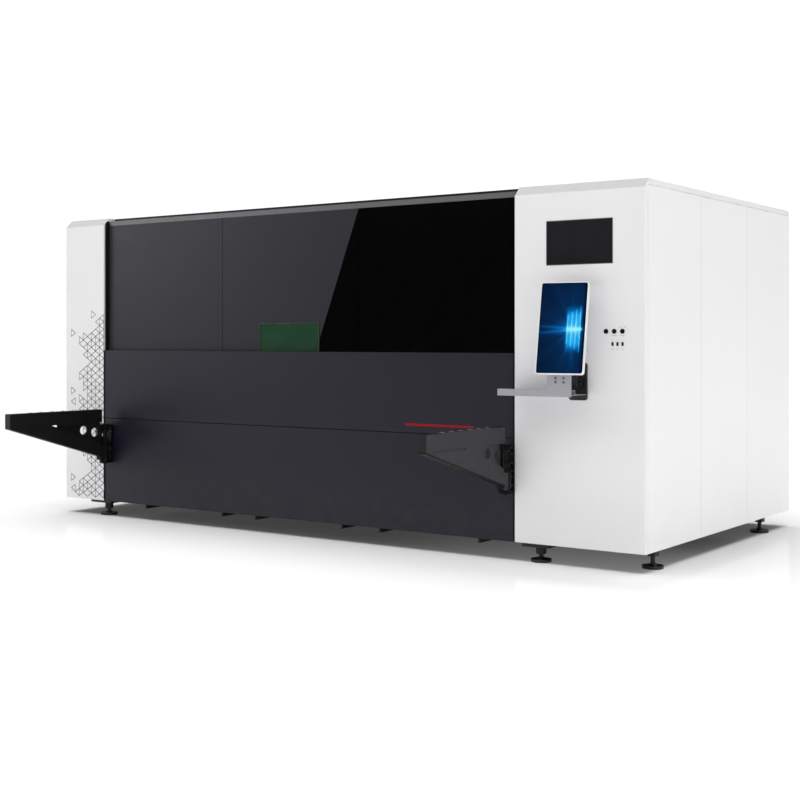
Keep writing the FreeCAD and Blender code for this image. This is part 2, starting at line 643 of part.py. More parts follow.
# ---------------------------------------------------------------- slag drawers
for name, x0, x1 in (("slag_drawer_left", -1710, -250), ("slag_drawer_right", -150, 1310)):
    box_ = bx(x0, x1, F + 380, B - 22, 240, 388)
    hollow = bx(x0 + 4, x1 - 4, F + 384, B - 26, 244, 395)
    front = bx(x0 - 5, x1 + 5, B - 26, B - 14, 232, 396)
    xm = (x0 + x1) / 2.0
    grip = cut(bx(xm - 110, xm + 110, B - 15, B, 300, 330), [bx(xm - 98, xm + 98, B - 14, B - 8, 290, 340)])
    keep(fuse([cut(box_, [hollow]), front, grip]), name)

keep(cut(bx(1580, 2140, 700, 1300, zt, 1000), [
    bx(1570, 1586, 760, 1240, z, z + 10) for z in (500, 530, 560, 590, 620)]), "laser_source")


# ---------------------------------------------------------------- loading arms
AX = F - D("arm_axis")
BOLTS = [(dx, z) for dx in (-27, 19) for z in (420, 470, 545, 595)]


def arm_bracket(xc):
    wall = bx(xc - 37, xc + 27, F - 10, F, 378, 641)
    parts = [wall]
    for z0, z1 in ((378, 393), (499, 513), (627, 641)):
        parts.append(cy(xc, AX, z0, 36, q(z1) - z0))
        parts.append(bx(xc - 36, xc + 27, AX, F - 5, z0, z1))
    return cut(fuse(parts), [cy(xc, AX, 370, D("pin_rad") + 0.2, 280)]
               + [cy(xc + dx, F - 20, z, D("screw_rad") + 0.2, 30, "Y") for dx, z in BOLTS])


def hinge_pin(xc):
    return fuse([cy(xc, AX, 370, D("pin_rad"), 275), cy(xc, AX, 641.5, 20, 9)])


keep(group([arm_bracket(D("arm_left_x")), arm_bracket(D("arm_right_x"))]), "arm_brackets")
keep(group([hinge_pin(D("arm_left_x")), hinge_pin(D("arm_right_x"))]), "arm_pins")


def loading_arm(name, xc):
    """Top box beam, diagonal brace, recessed web with three lightening holes, hinge barrels."""
    w = D("arm_wide") / 2
    zb, ztop = D("arm_top") - D("arm_beam"), D("arm_top")
    tip = F - D("arm_reach")
    b = body(name)
    pad(b, "YZ_Plane", xc - w, xc + w, [rect(tip, F - 95, zb, ztop)])
    pad(b, "YZ_Plane", xc - w, xc + w, [[
        (tip + 1, zb + 1), (tip + 1, zb - 7), (F - 99, 424), (F - 99, 522), (F - 532, zb - 1), (F - 532, zb + 1)]])
    pad(b, "YZ_Plane", xc + 2, xc + 8, [[
        (F - 474, zb + 1), (F - 474, 620), (F - 120, 500), (F - 92, 515), (F - 22, 515), (F - 22, 625),
        (F - 96, 625), (F - 96, zb + 1)]])
    pad(b, "YZ_Plane", xc + w - 7, xc + w, [[(F - 101, 424.6), (F - 101, 497), (F - 28, 497), (F - 28, 403)]])
    for z0, z1 in ((395, 497), (515, 544), (606, 625)):
        pad(b, "XY_Plane", z0, z1, [], [(xc, AX, D("barrel_rad"))])
    pad(b, "XY_Plane", 400, 497, [rect(xc - 22, xc + 22, F - 104, AX - 10)])
    pad(b, "XY_Plane", 515, 544, [rect(xc - 22, xc + 22, F - 104, AX - 10)])
    pad(b, "XY_Plane", 606, 625, [rect(xc - 22, xc + 22, F - 104, AX - 10)])
    pad(b, "XY_Plane", 515, 656, [rect(xc - 22, xc + 22, F - 108, F - 99)])
    pocket(b, "XY_Plane", 380, 640, [], [(xc, AX, D("pin_rad") + 0.4)])
    holes_ = [(F - 247, 613.5, D("web_hole_rad")), (F - 149, 594, D("web_hole_rad")), (F - 50, 575, D("web_hole_rad"))]
    for hole in holes_:
        pocket(b, "YZ_Plane", xc + 1, xc + 30, [], [hole])
    pocket(b, "XZ_Plane", tip + 4, F - 90, [rect(xc - w + 4, xc + w - 4, zb + 4, ztop - 4)])
    pocket(b, "YZ_Plane", xc - w - 1, xc + w - 6, [[
        (tip + 130, zb - 34), (F - 112, 440), (F - 112, 510), (F - 520, zb - 8), (tip + 130, zb - 8)]])
    pocket(b, "YZ_Plane", xc + w - 5, xc + w + 1, [rect(tip - 1, F - 90, zb - 3.4, zb - 0.4)])
    pocket(b, "XY_Plane", ztop - 5, ztop + 1, [], [(xc, F - 690 + 90 * i, 15.3) for i in range(6)])
    keep(b, name)


loading_arm("arm_left", D("arm_left_x"))
loading_arm("arm_right", D("arm_right_x"))

for name, xc in (("ball_units_left", D("arm_left_x")), ("ball_units_right", D("arm_right_x"))):
    units = []
    zt_ = D("arm_top")
    for i in range(6):
        y = F - 690 + 90 * i
        cup = cut(fuse([cy(xc, y, zt_, 19, 1.5), cy(xc, y, zt_ - 15, 15, 16)]),
                  [cy(xc, y, zt_ - 12.5, 9.3, 15)])
        units += [cup, ball(xc, y, zt_ - 3, 9)]
    keep(group(units), name)

# ---------------------------------------------------------------- operator terminal
b = body("wall_plate")
PX, PZ = 1866, 1006
last = pad(b, "XZ_Plane", F - 12, F, [rect(1805, 1914, 905, 1107)])
last = round_edges(b, last, lambda e: e.BoundBox.YLength > 11 and e.BoundBox.XLength < 1e-3 and e.BoundBox.ZLength < 1e-3, 16.0)
pad(b, "XZ_Plane", F - 32, F - 11, [], [(PX, PZ, 26)])
pad(b, "XZ_Plane", F - 182.4, F - 31, [], [(PX, PZ, 12)])
pad(b, "XZ_Plane", F - 182.4, F - 172, [rect(1808, 1877, 996, 1038)])
RING = [(PX + 19 * math.cos(math.radians(30 + 60 * i)), PZ + 19 * math.sin(math.radians(30 + 60 * i))) for i in range(6)]
pocket(b, "XZ_Plane", F - 33, F - 29, [], [(x, z, D("screw_rad") + 0.2) for x, z in RING])
keep(b, "terminal_wall_plate")

HX, HY, HZ = D("mon_x"), F - D("hinge_y"), D("hinge_z")
TL_, TR_, TZ = D("tray_left"), D("tray_right"), D("tray_z")
TF = F - D("tray_dep")
b = body("tray")
pad(b, "XZ_Plane", TF, TF + 2.5, [[
    (TL_, TZ - 8), (TR_, TZ - 8), (TR_, 1058), (TR_ - 145, 1058), (TR_ - 145, TZ + 52), (TR_ - 152.5, TZ + 36),
    (TR_ - 170, TZ + 28), (TL_, TZ + 28)]])
pad(b, "XY_Plane", TZ, TZ + 2.5, [rect(TL_, TR_, TF + 2, F - 12)])
pad(b, "XY_Plane", TZ + 25.5, TZ + 28, [rect(TL_, TR_, TF + 2, TF + 43)])
pad(b, "XZ_Plane", TF + 40.5, TF + 43, [rect(TL_, TR_, TZ + 2, TZ + 26)])
pad(b, "YZ_Plane", TL_, TL_ + 2.5, [rect(TF + 42, F - 12, TZ + 2, TZ + 12)])
turn = FreeCAD.Rotation(V(0, 0, 1), VAL["mon_turn"])
c = body("cheeks")
cheek = [(-34, 1041), (-34, 1066), (-16, HZ - 14), (-16, HZ + 14), (14, HZ + 14), (14, HZ - 20), (0, 1041)]
pad(c, "YZ_Plane", -40, -25, [cheek])
pad(c, "YZ_Plane", 25, 40, [cheek])
pad(c, "XY_Plane", 1041, 1056, [rect(-40, 40, -34, -6)])
pocket(c, "YZ_Plane", -45, 45, [], [(0, HZ, 6.3)])
c.Placement = FreeCAD.Placement(V(HX.n, HY.n, 0), turn)
c.setExpression("Placement.Base.x", HX.t)
c.setExpression("Placement.Base.y", HY.t)
back = cut(c, [bx(1700, 2000, TF - 60, TF + 2, 1000, 1200)])
PLATE_SCREWS = [(x, z) for x in (1818, 1867) for z in (1006, 1028)]
keep(cut(fuse([b, back]), [cy(x, TF - 1, z, D("screw_rad") + 0.2, 3.6, "Y") for x, z in PLATE_SCREWS]), "terminal_tray")


def screw(x, y, z):
    """Button-head screw seated on a face at y, pointing to the rear."""
    return fuse([cy(x, y - 3.5, z, D("screw_head"), 3.5, "Y"), cy(x, y - 1, z, D("screw_rad"), 3.0, "Y")])


screws = [screw(x, TF, z) for x, z in PLATE_SCREWS] + [screw(x, F - 32, z) for x, z in RING]
for xc in (D("arm_left_x"), D("arm_right_x")):
    screws += [screw(xc + dx, F - 10, z) for dx, z in BOLTS]
keep(group(screws), "cap_screws")

tilt = turn.multiply(FreeCAD.Rotation(V(1, 0, 0), -VAL["mon_tilt"]))


def tilted(b):
    b.Placement = FreeCAD.Placement(V(HX.n, HY.n, HZ.n), tilt)
    b.setExpression("Placement.Base.x", HX.t)
    b.setExpression("Placement.Base.y", HY.t)
    b.setExpression("Placement.Base.z", HZ.t)


mw = D("mon_wide") / 2
b = body("monitor")
last = pad(b, "XZ_Plane", -57, -33, [rect(-mw, mw, -D("mon_low"), D("mon_high"))])


def y_edges(e):
    return e.BoundBox.YLength > 20 and e.BoundBox.XLength < 1e-3 and e.BoundBox.ZLength < 1e-3


last = round_edges(b, last, y_edges, 16.0, "mon_rad")
pad(b, "XZ_Plane", -34, -4, [rect(-23, 23, -12, 12)])
pad(b, "YZ_Plane", -24, 24, [], [(0, 0, 14)])
pad(b, "YZ_Plane", -38, 38, [], [(0, 0, 6)])
pad(b, "XZ_Plane", -34, -24, [rect(-60, 60, 60, 180)])
last = pocket(b, "XZ_Plane", -58, -55.5, [rect(-mw + 5, mw - 5, -D("mon_low") + 5, D("mon_high") - 5)])
round_edges(b, last, lambda e: abs(e.BoundBox.YLength - 1.5) < 1e-3 and e.BoundBox.XLength < 1e-3 and e.BoundBox.ZLength < 1e-3, 11.0)
tilted(b)
keep(b, "monitor_housing")
b = body("screen")
last = pad(b, "XZ_Plane", -57.2, -55.5, [rect(-mw + 5.3, mw - 5.3, -D("mon_low") + 5.3, D("mon_high") - 5.3)])
round_edges(b, last, lambda e: e.BoundBox.YLength > 1.6 and e.BoundBox.XLength < 1e-3 and e.BoundBox.ZLength < 1e-3, 10.7)
tilted(b)
keep(b, "monitor_glass")

b = body("display")
pad(b, "XZ_Plane", F + 0.6, F + 40, [rect(D("disp_left") + 1, D("disp_right") - 1, D("disp_low") + 1, D("disp_high") - 1)])
pad(b, "XZ_Plane", F + 3.2, F + 7, [rect(D("disp_left") - 12, D("disp_right") + 12, D("disp_low") - 12, D("disp_high") + 12)])
keep(b, "status_display")

# ---------------------------------------------------------------- push buttons and switches
trims = []
for k in ("btn_xa", "btn_xb", "btn_xc"):
    trims.append(cut(fuse([cy(D(k), F - 4, D("btn_z"), 13, 4, "Y"), cy(D(k), F - 1, D("btn_z"), D("btn_hole") - 0.2, 24, "Y")]),
                     [cy(D(k), F - 10, D("btn_z"), 9.3, 40, "Y")]))
for k in ("sw_xa", "sw_xb", "sw_xc"):
    trims.append(cut(fuse([bx(D(k) - 5.8, D(k) + 5.8, F - 1.5, F, D("sw_z") - 10.3, D("sw_z") + 10.3),
                           bx(D(k) - 4.8, D(k) + 4.8, F - 1, F + 14, D("sw_z") - 9.2, D("sw_z") + 9.2)]),
                     [bx(D(k) - 4.1, D(k) + 4.1, F - 5, F + 20, D("sw_z") - 8.5, D("sw_z") + 8.5)]))
keep(group(trims), "control_bezels")


def turned_y(name, x, y, z, pts):
    """Turned piece whose axis points to the operator."""
    b = body(name)
    last = spin(b, pts)
    b.Placement = FreeCAD.Placement(V(q(x).n, q(y).n, q(z).n), FreeCAD.Rotation(V(1, 0, 0), 90))
    b.setExpression("Placement.Base.x", q(x).t)
    b.setExpression("Placement.Base.y", q(y).t)
    b.setExpression("Placement.Base.z", q(z).t)
    return b, last


CAP = [(0, -12), (9, -12), (9, 6.2), (8.2, 7), (0, 7.4)]
b, last = turned_y("cap_a", D("btn_xa"), F, D("btn_z"), CAP)
keep(b, "push_button_left")
b, last = turned_y("cap_b", D("btn_xb"), F, D("btn_z"), CAP)
keep(b, "push_button_mid")
b, last = turned_y("knob", D("btn_xc"), F, D("btn_z"), [(0, -12), (9, -12), (9, 4.4), (8.4, 5), (0, 5)])
pad(b, "XY_Plane", 4, 13, [rect(-2.4, 2.4, -8.2, 8.2)])
keep(b, "selector_knob")

lean = FreeCAD.Rotation(V(1, 0, 0), 8)
for name, k in (("rocker_left", "sw_xa"), ("rocker_mid", "sw_xb"), ("rocker_right", "sw_xc")):
    b = body(name)
    pad(b, "YZ_Plane", -3.9, 3.9, [[(-3.4, -7.4), (-2.4, 0), (-3.4, 7.4), (4, 7.0), (8, 2.5), (8, -2.5), (4, -7.0)]])
    b.Placement = FreeCAD.Placement(V(D(k).n, F.n, D("sw_z").n), lean)
    b.setExpression("Placement.Base.x", D(k).t)
    b.setExpression("Placement.Base.y", F.t)
    b.setExpression("Placement.Base.z", D("sw_z").t)
    keep(b, name)

# ---------------------------------------------------------------- checks and export
doc.recompute()
bad = [o.Name for o in doc.Objects if "Invalid" in o.State or "Error" in o.State]
for name, obj in NODES.items():
    if obj.Shape.isNull() or not obj.Shape.isValid() or not obj.Shape.Solids:
        bad.append(name)
if bad:
    raise RuntimeError("failed objects: " + ", ".join(bad))
os.makedirs("parts", exist_ok=True)
total = 0.0
box = None
for name, obj in NODES.items():
    obj.Shape.exportStep(os.path.join("parts", name + ".step"))
    bb = obj.Shape.BoundBox
    total += obj.Shape.Volume
    box = FreeCAD.BoundBox(bb) if box is None else box.united(bb) if hasattr(box, "united") else box
    print("%-24s solids %3d  vol %8.4f L  x %.1f..%.1f  y %.1f..%.1f  z %.1f..%.1f" % (
        name, len(obj.Shape.Solids), obj.Shape.Volume / 1e6, bb.XMin, bb.XMax, bb.YMin, bb.YMax, bb.ZMin, bb.ZMax))
print("nodes", len(NODES), "volume m3 %.4f" % (total / 1e9), "box", box)
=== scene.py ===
import bpy
import bmesh
import math
import random
from mathutils import Matrix, Vector


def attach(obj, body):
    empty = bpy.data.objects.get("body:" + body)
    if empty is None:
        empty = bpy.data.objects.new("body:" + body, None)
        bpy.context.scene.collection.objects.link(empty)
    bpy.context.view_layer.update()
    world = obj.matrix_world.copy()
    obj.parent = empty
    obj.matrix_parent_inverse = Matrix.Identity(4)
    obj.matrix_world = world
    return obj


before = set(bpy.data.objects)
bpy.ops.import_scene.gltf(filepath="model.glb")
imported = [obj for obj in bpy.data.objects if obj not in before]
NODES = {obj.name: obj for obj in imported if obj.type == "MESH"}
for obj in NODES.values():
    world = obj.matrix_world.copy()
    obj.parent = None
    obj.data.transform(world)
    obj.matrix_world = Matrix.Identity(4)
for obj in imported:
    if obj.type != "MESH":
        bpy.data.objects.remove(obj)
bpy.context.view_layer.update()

F, B = -0.6875, 1.5625
IL, IR = -1.855, 1.459


# ---------------------------------------------------------------- node helpers
class Graph:
    """A small helper around one material's node tree."""

    def __init__(self, name):
        self.mat = bpy.data.materials.new(name)
        self.mat.use_nodes = True
        self.nt = self.mat.node_tree
        self.nt.nodes.clear()
        self.out = self.nt.nodes.new("ShaderNodeOutputMaterial")
        self.bsdf = self.nt.nodes.new("ShaderNodeBsdfPrincipled")
        self.nt.links.new(self.bsdf.outputs["BSDF"], self.out.inputs["Surface"])
        self.tc = self.nt.nodes.new("ShaderNodeTexCoord")

    def add(self, kind, **props):
        n = self.nt.nodes.new(kind)
        for k, v in props.items():
            setattr(n, k, v)
        return n

    def link(self, a, b):
        self.nt.links.new(a, b)

    def put(self, socket, value):
        if hasattr(value, "node"):
            self.link(value, socket)
        else:
            socket.default_value = value

    def math(self, op, a, b=0.0, c=0.0, clamp=False):
        n = self.add("ShaderNodeMath", operation=op)
        n.use_clamp = clamp
        for i, v in enumerate((a, b, c)):
            self.put(n.inputs[i], v)
        return n.outputs[0]

    def pos(self):
        return self.tc.outputs["Object"]

    def axes(self):
        n = self.add("ShaderNodeSeparateXYZ")
        self.link(self.pos(), n.inputs[0])
        return n.outputs[0], n.outputs[1], n.outputs[2]

    def scaled(self, sx, sy, sz, rot=(0, 0, 0)):
        n = self.add("ShaderNodeMapping")
        n.inputs["Scale"].default_value = (sx, sy, sz)
        n.inputs["Rotation"].default_value = rot
        self.link(self.pos(), n.inputs["Vector"])
        return n.outputs[0]

    def noise(self, scale, detail=2.0, rough=0.5, vec=None, out="Fac", distortion=0.0):
        n = self.add("ShaderNodeTexNoise")
        n.inputs["Scale"].default_value = scale
        n.inputs["Detail"].default_value = detail
        n.inputs["Roughness"].default_value = rough
        n.inputs["Distortion"].default_value = distortion
        self.link(vec or self.pos(), n.inputs["Vector"])
        return n.outputs[out]

    def span(self, value, a, b, lo, hi, smooth=False):
        n = self.add("ShaderNodeMapRange")
        n.clamp = True
        if smooth:
            n.interpolation_type = "SMOOTHSTEP"
        self.put(n.inputs[0], value)
        for i, v in zip((1, 2, 3, 4), (a, b, lo, hi)):
            n.inputs[i].default_value = v
        return n.outputs[0]

    def mix(self, fac, a, b, blend="MIX"):
        n = self.add("ShaderNodeMix")
        n.data_type = "RGBA"
        n.blend_type = blend
        self.put(n.inputs[0], fac)
        for idx, v in ((6, a), (7, b)):
            if hasattr(v, "node"):
                self.link(v, n.inputs[idx])
            else:
                n.inputs[idx].default_value = (v[0], v[1], v[2], 1.0)
        return n.outputs[2]

    def ramp(self, value, stops):
        n = self.add("ShaderNodeValToRGB")
        r = n.color_ramp
        while len(r.elements) < len(stops):
            r.elements.new(0.5)
        for e, (p, c) in zip(r.elements, stops):
            e.position = p
            e.color = (c[0], c[1], c[2], 1.0)
        self.put(n.inputs[0], value)
        return n.outputs[0]

    def bump(self, height, strength, distance=0.001, normal=None):
        n = self.add("ShaderNodeBump")
        n.inputs["Strength"].default_value = strength
        n.inputs["Distance"].default_value = distance
        self.link(height, n.inputs["Height"])
        if normal is not None:
            self.link(normal, n.inputs["Normal"])
        return n.outputs[0]

    def edges(self, radius):
        n = self.add("ShaderNodeBevel", samples=4)
        n.inputs["Radius"].default_value = radius
        return n.outputs[0]

    def color(self, v):
        self.put(self.bsdf.inputs["Base Color"], v)

    def set(self, **k):
        names = {"rough": "Roughness", "metal": "Metallic", "spec": "Specular IOR Level", "coat": "Coat Weight",
                 "coat_rough": "Coat Roughness", "ior": "IOR", "trans": "Transmission Weight",
                 "aniso": "Anisotropic", "emit": "Emission Strength", "normal": "Normal"}
        for key, v in k.items():
            self.put(self.bsdf.inputs[names[key]], v)


def tint(rgb, k):
    return tuple(max(0.0, min(1.0, c * k)) for c in rgb)


def powder(name, rgb, rough=0.42, vary=0.03, peel=0.10, grain=0.05, edge=0.0012, spec=0.5, bottom=None, settle=0.0):
    """Powder-coated sheet: orange peel, fine pigment grain, slow tone drift and a little dust near the floor."""
    g = Graph(name)
    slow = g.noise(0.9, 3.0, 0.55)
    fine = g.noise(520.0, 2.0, 0.6)
    mid = g.noise(14.0, 4.0, 0.6)
    base = g.mix(g.span(slow, 0.3, 0.7, 0.0, 1.0), tint(rgb, 1.0 - vary), tint(rgb, 1.0 + vary))
    base = g.mix(g.span(fine, 0.35, 0.65, 0.0, grain), base, tint(rgb, 0.55))
    if settle:
        _, _, z = g.axes()
        low = g.math("MULTIPLY", g.span(z, 0.1, 0.55, 1.0, 0.0, True), g.span(mid, 0.35, 0.75, 0.2, 1.0))
        base = g.mix(g.math("MULTIPLY", low, settle), base, bottom or (0.30, 0.29, 0.28))
    g.color(base)
    r = g.span(mid, 0.3, 0.7, rough - 0.04, rough + 0.05)
    g.set(rough=r, spec=spec)
    peel_h = g.math("ADD", g.noise(260.0, 3.0, 0.5), g.math("MULTIPLY", fine, 0.35))
    normal = g.bump(peel_h, peel, 0.0008, g.edges(edge) if edge else None)
    g.set(normal=normal)
    return g.mat


def metal(name, rgb, rough=0.3, streak=(2.0, 240.0, 240.0), vary=0.12, strength=0.12, aniso=0.0, spots=0.0, edge=0.0):
    """Ground or drawn metal: long streaks along one axis, cloudy tone and faint spots."""
    g = Graph(name)
    lines = g.noise(1.0, 4.0, 0.65, g.scaled(*streak))
    cloud = g.noise(7.0, 4.0, 0.6)
    base = g.mix(g.span(lines, 0.3, 0.7, 0.0, 1.0), tint(rgb, 1.0 - vary), tint(rgb, 1.0 + vary))
    base = g.mix(g.span(cloud, 0.4, 0.8, 0.0, 0.35), base, tint(rgb, 0.6))
    if spots:
        base = g.mix(g.span(g.noise(55.0, 5.0, 0.7), 0.60, 0.72, 0.0, spots), base, (0.10, 0.07, 0.05))
    g.color(base)
    g.set(metal=1.0, aniso=aniso)
    g.set(rough=g.span(lines, 0.25, 0.75, rough - 0.07, rough + 0.10))
    g.set(normal=g.bump(lines, strength, 0.0004, g.edges(edge) if edge else None))
    return g.mat


def plastic(name, rgb, rough=0.45, grain=700.0, strength=0.12, edge=0.0006, coat=0.0, spec=0.5):
    """Moulded plastic or rubber with a fine spark-eroded grain."""
    g = Graph(name)
    n1 = g.noise(grain, 3.0, 0.6)
    n2 = g.noise(9.0, 3.0, 0.6)
    g.color(g.mix(g.span(n2, 0.3, 0.7, 0.0, 1.0), tint(rgb, 0.85), tint(rgb, 1.2)))
    g.set(rough=g.span(n1, 0.3, 0.7, rough - 0.05, rough + 0.07), spec=spec)
    if coat:
        g.set(coat=coat, coat_rough=0.05)
    g.set(normal=g.bump(n1, strength, 0.0003, g.edges(edge)))
    return g.mat


def dress(mat, *names):
    for n in names:
        o = NODES[n]
        if len(o.material_slots):
            for s in o.material_slots:
                s.material = mat
        else:
            o.data.materials.append(mat)


# ---------------------------------------------------------------- materials
WHITE = (0.80, 0.80, 0.81)
white = powder("white_powder_coat", WHITE, rough=0.40, vary=0.012, peel=0.07, grain=0.03, edge=0.0028,
               bottom=(0.62, 0.61, 0.60), settle=0.05)
dress(white, "left_front_cover", "right_front_cover", "left_side_cover_front", "left_side_cover_rear",
      "right_side_cover_front", "right_side_cover_mid", "right_side_cover_rear", "left_roof_cap", "right_roof_cap",
      "left_rear_door", "right_rear_door")

dark = powder("anthracite_powder_coat", (0.0058, 0.0044, 0.0128), rough=0.42, spec=0.29, vary=0.10, peel=0.10, grain=0.25,
              edge=0.0015, bottom=(0.05, 0.048, 0.046), settle=0.20)
dress(dark, "lower_front_cover", "rear_cover", "lower_door")
# painted shade: the roof takes a near-black copy of the anthracite, since its front edge sits in shadow
roof = powder("roof_black", (0.0035, 0.0034, 0.0042), rough=0.55, spec=0.25, vary=0.15, peel=0.12, grain=0.25, edge=0.001,
              bottom=(0.05, 0.048, 0.046), settle=0.0)
dress(roof, "roof_panel")
# painted light: the door's top bevel strip is the door's dark paint, given a much lighter grey for the light from above
# it catches
lit_bevel_grey = powder("anthracite_lit_bevel", (0.090, 0.089, 0.098), rough=0.42, vary=0.05, peel=0.08, grain=0.15, edge=0.001)
dress(lit_bevel_grey, "upper_door_cap")
door_frame = powder("door_frame_paint", (0.020, 0.020, 0.022), rough=0.5, vary=0.12, peel=0.14, grain=0.3, edge=0.002)
dress(door_frame, "upper_door_frame")
frame_paint = powder("frame_paint", (0.008, 0.008, 0.0088), rough=0.52, spec=0.3, vary=0.2, peel=0.22, grain=0.3, edge=0.0012,
                     bottom=(0.02, 0.019, 0.018), settle=0.35)
dress(frame_paint, "base_frame")
guide = powder("guide_black", (0.004, 0.004, 0.0045), rough=0.55, vary=0.2, peel=0.12, grain=0.2, edge=0.001, spec=0.3)
dress(guide, "door_guides")


def arm_paint(name, xc, rgb, hem, end):
    """Satin black of a loading arm, with painted shade: the colour goes darker on the sloped underside, round the hinge
    barrels and on the tip face, where the coat is also duller.
    """
    g = Graph(name)
    x, y, z = g.axes()
    fine = g.noise(520.0, 2.0, 0.6)
    mid = g.noise(14.0, 4.0, 0.6)
    slope = g.math("SUBTRACT", 0.654 + hem, g.math("MULTIPLY", g.math("SUBTRACT", y, F - 0.874), 0.29677))
    under = g.math("MULTIPLY", g.span(g.math("SUBTRACT", z, slope), -0.0003, 0.0003, 1.0, 0.0), g.span(y, F - 0.101, F - 0.099, 1.0, 0.0))
    off = g.math("ABSOLUTE", g.math("SUBTRACT", x, xc))
    flange = g.math("MULTIPLY", g.span(off, 0.0175, 0.0180, 0.0, 1.0), g.span(off, 0.0251, 0.0256, 1.0, 0.0))
    rear = g.math("MULTIPLY", g.span(y, F - 0.109, F - 0.107, 0.0, 1.0), g.span(z, 0.658, 0.662, 1.0, 0.0))
    flange = g.math("MULTIPLY", flange, g.span(z, 0.499, 0.501, 1.0, 0.0))
    rear = g.math("MULTIPLY", rear, g.math("SUBTRACT", 1.0, flange))
    tip = g.span(y, F - 0.8732, F - 0.8722, end, 0.0)
    # painted shade mask: underside, hinge end and tip face are darkened where shade falls
    painted_shade = g.math("MAXIMUM", g.math("MAXIMUM", under, rear), tip)
    base = g.mix(g.span(mid, 0.3, 0.7, 0.0, 1.0), tint(rgb, 0.85), tint(rgb, 1.15))
    base = g.mix(g.span(fine, 0.35, 0.65, 0.0, 0.2), base, tint(rgb, 0.55))
    g.color(g.mix(painted_shade, base, (0.0022, 0.0022, 0.0026)))
    arm_rough = g.span(mid, 0.3, 0.7, 0.36, 0.45)
    g.set(rough=g.math("ADD", arm_rough, g.math("MULTIPLY", painted_shade, 0.16)), spec=g.math("SUBTRACT", 0.44, g.math("MULTIPLY", painted_shade, 0.30)))
    g.set(normal=g.bump(g.math("ADD", g.noise(260.0, 3.0, 0.5), g.math("MULTIPLY", fine, 0.35)), 0.12, 0.0008, g.edges(0.0015)))
    return g.mat


# both arms are one part in one black; the left arm's darker colour is painted shade, the right arm's lighter one the
# lit copy
dress(arm_paint("arm_black_left", -1.793, (0.0040, 0.0040, 0.0046), 0.0015, 0.45), "arm_left")
dress(arm_paint("arm_black_right", 1.431, (0.0058, 0.0050, 0.0098), 0.0075, 0.58), "arm_right")
dress(powder("bracket_black", (0.0016, 0.0016, 0.0020), rough=0.55, spec=0.11, vary=0.15, peel=0.12, grain=0.2, edge=0.001), "arm_brackets")
inner = powder("inner_wall_grey", (0.30, 0.30, 0.31), rough=0.5, vary=0.04, peel=0.15, grain=0.1, edge=0.001)
dress(inner, "right_inner_wall")
table = powder("table_grey", (0.10, 0.10, 0.105), rough=0.55, vary=0.15, peel=0.25, grain=0.35, edge=0.003)
dress(table, "table_frame")
case = powder("source_case_grey", (0.50, 0.51, 0.53), rough=0.42, vary=0.03, peel=0.12, grain=0.08, edge=0.003)
dress(case, "laser_source")
truck = powder("truck_black", (0.03, 0.03, 0.032), rough=0.45, vary=0.12, peel=0.2, grain=0.25, edge=0.003)
dress(truck, "gantry_carriages", "gantry_motors")


def fascia(name, split):
    """Door face sheet: satin on the left of a slanting line, deep gloss on the right of it."""
    g = Graph(name)
    g.set(spec=0.28)
    fine = g.noise(520.0, 2.0, 0.6)
    mid = g.noise(11.0, 4.0, 0.6)
    slow = g.noise(0.8, 2.0, 0.5)
    satin = (0.0066, 0.0056, 0.0128)
    gloss = (0.0010, 0.0010, 0.0012)
    satin_v = g.mix(g.span(slow, 0.3, 0.7, 0.0, 1.0), tint(satin, 0.9), tint(satin, 1.1))
    satin_v = g.mix(g.span(fine, 0.35, 0.65, 0.0, 0.25), satin_v, tint(satin, 0.5))
    gloss_v = g.mix(g.span(mid, 0.4, 0.7, 0.0, 1.0), gloss, tint(gloss, 1.5))
    satin_r = g.span(mid, 0.3, 0.7, 0.40, 0.47)
    gloss_r = g.span(mid, 0.35, 0.75, 0.025, 0.06)
    if split is None:
        x, _, z = g.axes()
        line = g.math("SUBTRACT", x, g.math("ADD", g.math("MULTIPLY", z, 0.3814), -0.4283))
        fac = g.span(line, -0.0004, 0.0004, 0.0, 1.0)
        g.color(g.mix(fac, satin_v, gloss_v))
        rn = g.math("ADD", g.math("MULTIPLY", satin_r, g.math("SUBTRACT", 1.0, fac)), g.math("MULTIPLY", gloss_r, fac))
        g.set(rough=rn)
        height = g.math("MULTIPLY", fine, g.math("SUBTRACT", 1.0, fac))
        g.set(normal=g.bump(height, 0.08, 0.0006))
    elif split:
        g.color(gloss_v)
        g.set(rough=gloss_r)
        g.set(normal=g.bump(slow, 0.03, 0.0006))
    else:
        # painted light: the colour turns lighter toward the folded left edge, lifting the shade that falls there beside
        # the white cabinet
        x, _, z = g.axes()
        g.color(g.mix(g.span(x, -1.842, -1.770, 0.34, 0.0, True), satin_v, (0.060, 0.059, 0.066)))
        g.set(rough=satin_r)
        g.set(normal=g.bump(fine, 0.08, 0.0006))
    return g.mat


dress(fascia("fascia_satin", False), "fascia_left")
dress(fascia("fascia_split", None), "fascia_mid")
dress(fascia("fascia_gloss", True), "fascia_right")

# tinted laser-safety window
g = Graph("safety_window")
n = g.noise(3.0, 3.0, 0.5)
g.color(g.mix(g.span(n, 0.3, 0.7, 0.0, 1.0), (0.016, 0.058, 0.028), (0.023, 0.070, 0.036)))
g.set(rough=g.span(g.noise(30.0, 4.0, 0.6), 0.3, 0.7, 0.04, 0.10), ior=1.49, trans=0.25)
g.set(normal=g.bump(n, 0.02, 0.0006))
dress(g.mat, "window_glass")
dress(plastic("gasket_rubber", (0.010, 0.010, 0.011), rough=0.6, grain=500.0, strength=0.2), "window_gasket")

